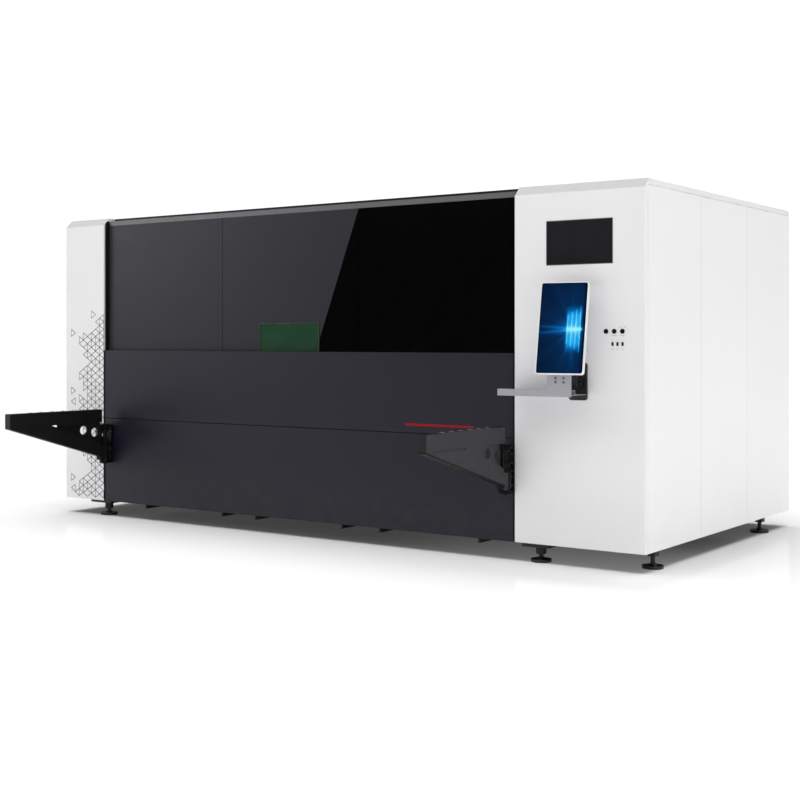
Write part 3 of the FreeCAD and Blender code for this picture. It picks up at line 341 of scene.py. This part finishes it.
dress(plastic("foot_black", (0.007, 0.007, 0.008), rough=0.27, grain=420.0, strength=0.08, edge=0.002), "foot_pads")
dress(metal("blackened_stem", (0.035, 0.035, 0.038), rough=0.34, streak=(40.0, 40.0, 1400.0), vary=0.3, strength=0.5), "foot_stems")
dress(metal("sheet_steel_slats", (0.36, 0.345, 0.33), rough=0.42, streak=(60.0, 3.0, 90.0), vary=0.18, strength=0.2, spots=0.8), "table_slats")
dress(metal("ground_rail", (0.62, 0.62, 0.64), rough=0.20, streak=(1.5, 300.0, 300.0), vary=0.08, strength=0.08), "x_rails")
dress(metal("ground_rail_cross", (0.62, 0.62, 0.64), rough=0.20, streak=(300.0, 1.5, 300.0), vary=0.08, strength=0.08), "y_rails")
dress(metal("zinc_duct", (0.58, 0.60, 0.62), rough=0.34, streak=(22.0, 9.0, 22.0), vary=0.14, strength=0.12, edge=0.001), "exhaust_flange")
dress(metal("galvanised_drawer", (0.52, 0.53, 0.55), rough=0.40, streak=(16.0, 16.0, 16.0), vary=0.2, strength=0.12, edge=0.001), "slag_drawer_left", "slag_drawer_right")
dress(metal("anodised_beam", (0.70, 0.70, 0.72), rough=0.36, streak=(220.0, 1.2, 220.0), vary=0.05, strength=0.08, edge=0.002), "gantry_beam")
dress(metal("anodised_carriage", (0.64, 0.64, 0.66), rough=0.33, streak=(200.0, 3.0, 120.0), vary=0.06, strength=0.08, edge=0.001), "y_carriage")
dress(metal("head_aluminium", (0.72, 0.72, 0.74), rough=0.30, streak=(160.0, 160.0, 2.0), vary=0.06, strength=0.08, edge=0.002), "cutting_head")
dress(metal("nozzle_copper", (0.78, 0.42, 0.22), rough=0.26, streak=(30.0, 30.0, 900.0), vary=0.10, strength=0.2), "nozzle")
dress(metal("turned_pin", (0.018, 0.018, 0.020), rough=0.36, streak=(20.0, 20.0, 900.0), vary=0.2, strength=0.25), "arm_pins")
dress(metal("ball_steel", (0.34, 0.34, 0.36), rough=0.34, streak=(90.0, 90.0, 90.0), vary=0.06, strength=0.03), "ball_units_left", "ball_units_right")
dress(metal("screw_steel", (0.16, 0.16, 0.17), rough=0.32, streak=(500.0, 20.0, 500.0), vary=0.2, strength=0.15, edge=0.0006), "cap_screws")
dress(plastic("wall_plate_black", (0.010, 0.010, 0.011), rough=0.42, grain=520.0, strength=0.15, edge=0.0015), "terminal_wall_plate")

# bead-blasted aluminium of the operator tray and the screen shell
for mname, rgb, rough, nodes in (("tray_aluminium", (0.36, 0.352, 0.39), 0.42, ("terminal_tray",)),
                                 ("screen_shell", (0.83, 0.83, 0.84), 0.34, ("monitor_housing",))):
    g = Graph(mname)
    blast = g.noise(900.0, 2.0, 0.7)
    cloud = g.noise(8.0, 3.0, 0.5)
    g.color(g.mix(g.span(cloud, 0.3, 0.7, 0.0, 1.0), tint(rgb, 0.95), tint(rgb, 1.05)))
    g.set(metal=0.35 if mname == "tray_aluminium" else 0.05, rough=g.span(blast, 0.3, 0.7, rough - 0.05, rough + 0.06))
    g.set(normal=g.bump(blast, 0.12, 0.0003, g.edges(0.0012)))
    dress(g.mat, *nodes)

# dark status display behind a printed glass edge
g = Graph("status_glass")
x, y, z = g.axes()
ex = g.math("MINIMUM", g.math("SUBTRACT", x, 1.661), g.math("SUBTRACT", 2.062, x))
ez = g.math("MINIMUM", g.math("SUBTRACT", z, 1.638), g.math("SUBTRACT", 1.881, z))
rim = g.span(g.math("MINIMUM", ex, ez), 0.0022, 0.0034, 1.0, 0.0)
soft = g.noise(2.5, 2.0, 0.5)
face = g.mix(g.span(soft, 0.3, 0.7, 0.0, 1.0), (0.0105, 0.0102, 0.0118), (0.0140, 0.0136, 0.0158))
g.color(g.mix(rim, face, (0.16, 0.16, 0.165)))
g.set(rough=g.span(g.noise(24.0, 4.0, 0.6), 0.3, 0.7, 0.10, 0.17))
dress(g.mat, "status_display")

dress(plastic("bezel_black", (0.0020, 0.0020, 0.0024), rough=0.45, grain=900.0, strength=0.05, edge=0.0008, spec=0.2), "control_bezels")
dress(plastic("button_black", (0.0014, 0.0014, 0.0016), rough=0.42, grain=900.0, strength=0.05, edge=0.0008, spec=0.14), "push_button_left", "push_button_mid")
dress(plastic("knob_black", (0.0014, 0.0014, 0.0016), rough=0.48, grain=900.0, strength=0.10, edge=0.0008, spec=0.14), "selector_knob")
dress(plastic("rocker_black", (0.0014, 0.0014, 0.0016), rough=0.45, grain=900.0, strength=0.08, edge=0.0006, spec=0.14), "rocker_left", "rocker_mid", "rocker_right")

# operator screen: a plain abstract picture of rising light bars with a level beam, blue and cyan
g = Graph("operator_screen")
x, y, z = g.axes()
TURN, TIP = math.radians(10.0), math.radians(12.6)
dx = g.math("SUBTRACT", x, 1.8503)
dy = g.math("SUBTRACT", y, F - 0.162)
dz = g.math("SUBTRACT", z, 1.110)
lx = g.math("ADD", g.math("MULTIPLY", dx, math.cos(TURN)), g.math("MULTIPLY", dy, math.sin(TURN)))
ly = g.math("SUBTRACT", g.math("MULTIPLY", dy, math.cos(TURN)), g.math("MULTIPLY", dx, math.sin(TURN)))
lz = g.math("ADD", g.math("MULTIPLY", ly, math.sin(TIP)), g.math("MULTIPLY", dz, math.cos(TIP)))
u = g.math("SUBTRACT", lx, 0.064)
v = g.math("SUBTRACT", lz, 0.168)
r2 = g.math("ADD", g.math("MULTIPLY", u, u), g.math("MULTIPLY", g.math("MULTIPLY", v, v), 0.22))
r = g.math("SQRT", r2)
halo = g.math("DIVIDE", 0.0020, g.math("ADD", r2, 0.0040))
wide = g.math("DIVIDE", 0.0060, g.math("ADD", r2, 0.0200))
ang = g.math("ARCTAN2", v, u)
comb = g.add("ShaderNodeCombineXYZ")
g.link(g.math("MULTIPLY", g.math("COSINE", ang), 2.0), comb.inputs[0])
g.link(g.math("MULTIPLY", g.math("SINE", ang), 2.0), comb.inputs[1])
rays = g.noise(1.7, 3.0, 0.55, comb.outputs[0])
rays = g.span(rays, 0.44, 0.72, 0.0, 1.0, True)
fall = g.math("DIVIDE", 0.030, g.math("ADD", r, 0.07))
glow = g.math("ADD", g.math("MULTIPLY", rays, g.math("MULTIPLY", fall, 0.55)),
              g.math("ADD", g.math("MULTIPLY", halo, 0.52), g.math("MULTIPLY", wide, 0.50)))
# two level beams that part a little toward the left
for lean in (0.085, -0.085):
    vv = g.math("ADD", v, g.math("MULTIPLY", g.math("SUBTRACT", u, 0.03), lean))
    beam = g.math("DIVIDE", 0.000034, g.math("ADD", g.math("MULTIPLY", vv, vv), 0.000062))
    glow = g.math("ADD", glow, g.math("MULTIPLY", beam, g.span(lx, -0.115, 0.080, 0.42, 1.0)))
# rising bars of light with a soft fill between them
fill = g.math("MULTIPLY", g.span(g.math("ABSOLUTE", u), 0.030, 0.048, 1.0, 0.0, True),
              g.span(g.math("ABSOLUTE", v), 0.070, 0.135, 1.0, 0.0, True))
bars = None
for bx0, hgt in ((0.030, 0.070), (0.053, 0.086), (0.076, 0.102), (0.099, 0.118)):
    d = g.math("SUBTRACT", lx, bx0)
    t = g.math("DIVIDE", 0.0000042, g.math("ADD", g.math("MULTIPLY", d, d), 0.0000042))
    m = g.math("MULTIPLY", t, g.span(g.math("ABSOLUTE", v), hgt, hgt + 0.014, 1.0, 0.0, True))
    bars = m if bars is None else g.math("ADD", bars, m)
glow = g.math("ADD", glow, g.math("MULTIPLY", bars, 0.55))
glow = g.math("ADD", glow, g.math("MULTIPLY", fill, 0.62))
glow = g.math("MULTIPLY", glow, g.span(lx, 0.100, 0.125, 1.0, 0.12, True))
shade = g.ramp(g.span(glow, 0.0, 1.8, 0.0, 1.0), (
    (0.0, (0.0004, 0.004, 0.020)), (0.14, (0.0006, 0.022, 0.085)), (0.36, (0.001, 0.120, 0.400)),
    (0.62, (0.012, 0.400, 0.880)), (1.0, (0.30, 0.92, 1.0))))
px_grid = g.add("ShaderNodeTexVoronoi")
px_grid.inputs["Scale"].default_value = 900.0
g.link(g.pos(), px_grid.inputs["Vector"])
shade = g.mix(g.span(px_grid.outputs["Distance"], 0.2, 0.7, 0.0, 0.06), shade, (0.0, 0.0, 0.0))
edge_u = g.math("MINIMUM", g.math("SUBTRACT", 0.1271, g.math("ABSOLUTE", lx)),
                g.math("SUBTRACT", 0.24545, g.math("ABSOLUTE", g.math("SUBTRACT", lz, 0.17675))))
lit = g.span(edge_u, 0.0014, 0.0024, 0.0, 1.0)
g.color((0.0006, 0.001, 0.002, 1.0))
g.link(g.mix(lit, (0.0005, 0.0008, 0.002), shade), g.bsdf.inputs["Emission Color"])
g.set(emit=1.0, spec=0.02, rough=g.span(g.noise(18.0, 4.0, 0.6), 0.3, 0.7, 0.06, 0.12))
dress(g.mat, "monitor_glass")

ink_grey = plastic("printed_ink_grey", (0.016, 0.016, 0.018), rough=0.45, grain=600.0, strength=0.05, edge=0.0)
ink_light = plastic("printed_ink_light", (0.36, 0.36, 0.37), rough=0.45, grain=600.0, strength=0.05, edge=0.0)
red = powder("accent_red", (0.27, 0.003, 0.008), rough=0.55, spec=0.12, vary=0.06, peel=0.06, grain=0.15, edge=0.0)


# ---------------------------------------------------------------- printed and stuck-on detail
def strip_mesh(name, strips, mat, body):
    """Closed thin strips on an upright plane. Each is (x0, z0, x1, z1, width, y_surface, proud)."""
    bm = bmesh.new()
    for x0, z0, x1, z1, w, ys, h in strips:
        d = Vector((x1 - x0, z1 - z0))
        if d.length < 1e-6:
            continue
        d.normalize()
        n_ = Vector((-d.y, d.x)) * (w / 2.0)
        ring = [(x0 + n_.x, z0 + n_.y), (x1 + n_.x, z1 + n_.y), (x1 - n_.x, z1 - n_.y), (x0 - n_.x, z0 - n_.y)]
        back = [bm.verts.new((a, ys + 0.0001, c)) for a, c in ring]
        front = [bm.verts.new((a, ys - h, c)) for a, c in ring]
        bm.faces.new(front)
        bm.faces.new(list(reversed(back)))
        for i in range(4):
            j = (i + 1) % 4
            bm.faces.new((front[j], front[i], back[i], back[j]))
    bmesh.ops.recalc_face_normals(bm, faces=bm.faces)
    me = bpy.data.meshes.new(name)
    bm.to_mesh(me)
    bm.free()
    me.materials.append(mat)
    o = bpy.data.objects.new(name, me)
    bpy.context.scene.collection.objects.link(o)
    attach(o, body)
    return o


def lattice():
    """Random outline triangles on an even triangular grid, thinning out to the left and the top."""
    rnd = random.Random(3015)
    side, col = 0.0515, 0.0418
    x_right, z_low = IL - 0.0015, 0.122
    edge_z = [(0.10, -2.08), (0.16, -2.13), (0.22, -2.11), (0.27, -2.03), (0.33, -1.99), (0.40, -2.03), (0.46, -2.08),
              (0.52, -2.06), (0.65, -2.06), (0.75, -2.08), (0.82, -2.02), (0.87, -2.03), (0.93, -2.04), (0.98, -2.11),
              (1.04, -2.02), (1.09, -1.99), (1.13, -2.05), (1.17, -2.02), (1.21, -2.13), (1.24, -2.09), (1.27, -1.99),
              (1.29, -1.93), (1.33, -1.90), (1.37, -1.90), (1.40, -1.85)]

    def border(z):
        for (za, xa), (zb, xb) in zip(edge_z, edge_z[1:]):
            if za <= z <= zb:
                return xa + (xb - xa) * (z - za) / (zb - za)
        return edge_z[0][1] if z < edge_z[0][0] else edge_z[-1][1]

    def corner(c, j):
        return (x_right - col * c, z_low + side * (j + 0.5 * (c % 2)))

    picked = {}

    def want(tri):
        cx = sum(p[0] for p in tri) / 3.0
        cz = sum(p[1] for p in tri) / 3.0
        d = cx - border(cz)
        if d > 0.045:
            p = 0.95
        elif d > 0.0:
            p = 0.84
        elif d > -0.022:
            p = 0.30
        else:
            p = 0.0
        return rnd.random() < p

    def take(keys):
        for a in range(3):
            k = tuple(sorted((keys[a], keys[(a + 1) % 3])))
            picked[k] = picked.get(k, 0) + 1

    for c in range(0, 9):
        for j in range(-1, 27):
            # columns run from the right edge to the left
            if c % 2 == 0:
                right = ((c + 1, j - 1), (c + 1, j), (c, j))
                left = ((c, j), (c, j + 1), (c + 1, j))
            else:
                right = ((c + 1, j), (c + 1, j + 1), (c, j))
                left = ((c, j), (c, j + 1), (c + 1, j + 1))
            for keys in (right, left):
                if want([corner(*k) for k in keys]):
                    take(keys)
    # a few lone triangles beyond the ragged edge: apex column, height, side the apex points to
    for c, z0, to_right in ((2, 1.400, True), (7, 1.290, True), (4, 1.255, True), (7, 0.855, True), (8, 0.800, False),
                            (6, 0.795, False), (7, 0.275, True), (8, 0.180, False), (5, 0.835, True)):
        j = round((z0 - z_low) / side - 0.5 * (c % 2))
        if to_right:
            take(((c + 1, j - 1), (c + 1, j), (c, j)) if c % 2 == 0 else ((c + 1, j), (c + 1, j + 1), (c, j)))
        else:
            take(((c - 1, j), (c - 1, j + 1), (c, j)) if c % 2 else ((c - 1, j - 1), (c - 1, j), (c, j)))
    strips = []
    for (a, b_), times in sorted(picked.items()):
        p, q = corner(*a), corner(*b_)
        if min(p[0], q[0]) < -2.241 or min(p[1], q[1]) < 0.112 or max(p[1], q[1]) > 1.46:
            continue
        if times > 1 and a[0] == b_[0] and rnd.random() < 0.22:
            continue
        kind = 0 if a[0] == b_[0] else (1 if (q[1] - p[1]) * (q[0] - p[0]) > 0 else 2)
        strips.append((p[0], p[1], q[0], q[1], 0.0036 if kind == 0 else 0.0046, F, 0.00018 + 0.00006 * kind))
    return strip_mesh("triangle_print", strips, ink_grey, "machine")


lattice()
strip_mesh("accent_stripe", [(0.719, 0.7335, 1.192, 0.7335, 0.0125, F, 0.0003)], red, "lower_leaf")

marks = []
for x0, z0, w, h in ((2105.6, 1298.5, 8.0, 3.2), (2132.0, 1298.5, 9.0, 3.2), (2070.8, 1252.5, 30.0, 2.4), (2118.4, 1252.5, 22.0, 2.4)):
    marks.append(((x0 - w / 2) / 1000, z0 / 1000, (x0 + w / 2) / 1000, z0 / 1000, h / 1000, F, 0.0002))
for x0 in (2060.9, 2089.4, 2118.9):
    marks.append(((x0 - 1.5) / 1000, 1.2312, (x0 + 1.5) / 1000, 1.2312, 0.003, F, 0.0002))
    marks.append(((x0 - 4.5) / 1000, 1.1825, (x0 + 4.5) / 1000, 1.1825, 0.0026, F, 0.0002))
    marks.append(((x0 - 3.0) / 1000, 1.1775, (x0 + 3.0) / 1000, 1.1775, 0.0016, F, 0.0002))
strip_mesh("control_marks", marks, ink_light, "machine")



def seal_strip(name, x0, x1, y0, y1, z0, z1):
    """Foam strip lying in the shadow gap between a side sheet and its roof cap."""
    bm = bmesh.new()
    steps = 60
    rings = []
    for i in range(steps + 1):
        yy = y0 + (y1 - y0) * i / steps
        rings.append([bm.verts.new(p) for p in ((x0, yy, z0), (x1, yy, z0), (x1, yy, z1), (x0, yy, z1))])
    for a, b_ in zip(rings, rings[1:]):
        for i in range(4):
            j = (i + 1) % 4
            bm.faces.new((a[i], a[j], b_[j], b_[i]))
    bm.faces.new(rings[0])
    bm.faces.new(list(reversed(rings[-1])))
    bmesh.ops.recalc_face_normals(bm, faces=bm.faces)
    me_ = bpy.data.meshes.new(name)
    bm.to_mesh(me_)
    bm.free()
    me_.materials.append(seal_grey)
    o = bpy.data.objects.new(name, me_)
    bpy.context.scene.collection.objects.link(o)
    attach(o, "machine")
    return o


seal_grey = plastic("seal_foam_grey", (0.66, 0.66, 0.67), rough=0.8, grain=800.0, strength=0.4, edge=0.0)
seal_strip("gap_seal_right", 2.2420, 2.2474, F + 0.034, B - 0.034, 2.0461, 2.0519)
seal_strip("gap_seal_left", -2.2474, -2.2420, F + 0.034, B - 0.034, 2.0461, 2.0519)

# ---------------------------------------------------------------- stage
bm = bmesh.new()
bmesh.ops.create_grid(bm, x_segments=8, y_segments=8, size=60.0)
me = bpy.data.meshes.new("studio_floor")
bm.to_mesh(me)
bm.free()
floor = bpy.data.objects.new("studio_floor", me)
bpy.context.scene.collection.objects.link(floor)
fm = bpy.data.materials.new("studio_floor")
fm.use_nodes = True
nt = fm.node_tree
nt.nodes.clear()
out = nt.nodes.new("ShaderNodeOutputMaterial")
mixs = nt.nodes.new("ShaderNodeMixShader")
dif = nt.nodes.new("ShaderNodeBsdfDiffuse")
dif.inputs["Color"].default_value = (0.305, 0.305, 0.305, 1.0)
glo = nt.nodes.new("ShaderNodeBsdfGlossy")
glo.inputs["Color"].default_value = (1.0, 1.0, 1.0, 1.0)
glo.inputs["Roughness"].default_value = 0.10
mixs.inputs[0].default_value = 0.15
nt.links.new(dif.outputs[0], mixs.inputs[1])
nt.links.new(glo.outputs[0], mixs.inputs[2])
# painted light: the floor glows faintly everywhere, lifting the shadow under the machine
lift = nt.nodes.new("ShaderNodeEmission")
lift.inputs["Color"].default_value = (1.0, 1.0, 1.0, 1.0)
lift.inputs["Strength"].default_value = 0.040
both = nt.nodes.new("ShaderNodeAddShader")
nt.links.new(mixs.outputs[0], both.inputs[0])
nt.links.new(lift.outputs[0], both.inputs[1])
tcf = nt.nodes.new("ShaderNodeTexCoord")
sepf = nt.nodes.new("ShaderNodeSeparateXYZ")
nt.links.new(tcf.outputs["Object"], sepf.inputs[0])
# painted light: a pool of extra glow toward the front right under the machine, standing in for light that reaches in
# under it
glow_pool = None
for axis, a_, b_, lo, hi in ((0, 0.1, 2.1, 0.0, 1.0), (0, 2.2, 2.7, 1.0, 0.0), (1, -0.6, 0.6, 1.0, 0.0), (1, -1.1, -0.75, 0.0, 1.0)):
    ramp = nt.nodes.new("ShaderNodeMapRange")
    ramp.interpolation_type = "SMOOTHSTEP"
    nt.links.new(sepf.outputs[axis], ramp.inputs[0])
    for i_, v_ in zip((1, 2, 3, 4), (a_, b_, lo, hi)):
        ramp.inputs[i_].default_value = v_
    if glow_pool is None:
        glow_pool = ramp.outputs[0]
    else:
        m_ = nt.nodes.new("ShaderNodeMath")
        m_.operation = "MULTIPLY"
        nt.links.new(glow_pool, m_.inputs[0])
        nt.links.new(ramp.outputs[0], m_.inputs[1])
        glow_pool = m_.outputs[0]
m_ = nt.nodes.new("ShaderNodeMath")
m_.operation = "MULTIPLY_ADD"
nt.links.new(glow_pool, m_.inputs[0])
m_.inputs[1].default_value = 0.100
m_.inputs[2].default_value = 0.050
nt.links.new(m_.outputs[0], lift.inputs["Strength"])
nt.links.new(both.outputs[0], out.inputs["Surface"])
floor.data.materials.append(fm)

world = bpy.data.worlds.new("studio_world")
bpy.context.scene.world = world
world.use_nodes = True
nt = world.node_tree
nt.nodes.clear()
out = nt.nodes.new("ShaderNodeOutputWorld")
bg = nt.nodes.new("ShaderNodeBackground")
seen = nt.nodes.new("ShaderNodeBackground")
seen.inputs["Color"].default_value = (1.0, 1.0, 1.0, 1.0)
seen.inputs["Strength"].default_value = 1.05
path = nt.nodes.new("ShaderNodeLightPath")
mixw = nt.nodes.new("ShaderNodeMixShader")
tcw = nt.nodes.new("ShaderNodeTexCoord")
sep = nt.nodes.new("ShaderNodeSeparateXYZ")
nt.links.new(tcw.outputs["Generated"], sep.inputs[0])
mr = nt.nodes.new("ShaderNodeMapRange")
mr.interpolation_type = "SMOOTHSTEP"
mr.inputs[1].default_value = 0.06
mr.inputs[2].default_value = 0.42
mr.inputs[3].default_value = 0.03
mr.inputs[4].default_value = 0.66
nt.links.new(sep.outputs[2], mr.inputs[0])
bg.inputs["Color"].default_value = (1.0, 1.0, 1.0, 1.0)
nt.links.new(mr.outputs[0], bg.inputs["Strength"])
nt.links.new(path.outputs["Is Camera Ray"], mixw.inputs[0])
nt.links.new(bg.outputs[0], mixw.inputs[1])
nt.links.new(seen.outputs[0], mixw.inputs[2])
nt.links.new(mixw.outputs[0], out.inputs["Surface"])


def lamp(name, kind, loc, aim, energy, **props):
    d = bpy.data.lights.new(name, kind)
    d.energy = energy
    for k, v in props.items():
        setattr(d, k, v)
    o = bpy.data.objects.new(name, d)
    bpy.context.scene.collection.objects.link(o)
    o.location = loc
    o.rotation_euler = (Vector(aim) - Vector(loc)).to_track_quat("-Z", "Y").to_euler()
    return o


def only(light, objects, side="receiver_collection", leave_out=False):
    """Studio flags: which pieces a lamp reaches, or which ones throw its shadow."""
    c = bpy.data.collections.new(light.name + "_" + side[:3])
    for o_ in objects:
        c.objects.link(o_)
    if leave_out:
        for item in c.collection_objects:
            item.light_linking.link_state = "EXCLUDE"
    setattr(light.light_linking, side, c)


whites = [NODES[n_] for n_ in ("left_front_cover", "right_front_cover", "left_side_cover_front", "left_side_cover_rear",
                               "left_roof_cap", "right_roof_cap")]
thin = ("arm_left", "arm_right", "ball_units_left", "ball_units_right", "arm_pins", "arm_brackets", "terminal_tray",
        "monitor_housing", "monitor_glass", "terminal_wall_plate", "cap_screws")
sun = lamp("floor_sun", "SUN", (-0.5, 0.15, 10.0), (0, 0, 0), 10.2, angle=math.radians(58.0))
only(sun, [floor])
only(sun, [NODES[n_] for n_ in thin], "blocker_collection", True)
for name, loc, aim, energy, sx, sy in (
        ("key_left", (-9.8, -6.6, 3.9), (-1.2, -0.7, 1.2), 245.0, 4.0, 4.0),
        ("top_front", (0.5, -5.5, 6.6), (0.3, -0.7, 1.0), 58.0, 7.0, 2.6),
        ("left_white", (-5.8, -4.6, 5.0), (-2.05, -0.7, 1.8), 34.0, 1.4, 1.4),
        ("fill_right", (8.5, 0.5, 3.6), (2.2, 0.4, 1.0), 100.0, 4.0, 3.0),
        ("corner_right", (8.8, -5.6, 3.0), (2.2, -0.7, 1.2), 30.0, 2.0, 3.0)):
    flagged = [floor] + (whites if name == "key_left" else [])
    only(lamp(name, "AREA", loc, aim, energy, shape="RECTANGLE", size=sx, size_y=sy), flagged, leave_out=True)

# ---------------------------------------------------------------- camera
cam = bpy.data.cameras.new("camera")
cam.sensor_width = 36.0
cam.lens = 59.54
cam.shift_y = -0.0750
cam.clip_end = 200.0
co = bpy.data.objects.new("camera", cam)
bpy.context.scene.collection.objects.link(co)
co.location = (5.1728, -7.0873, 1.2300)
co.rotation_euler = (math.radians(90.0), 0.0, math.radians(35.06))
bpy.context.scene.camera = co
bpy.context.scene.view_settings.view_transform = "Standard"
bpy.context.scene.view_settings.look = "None"
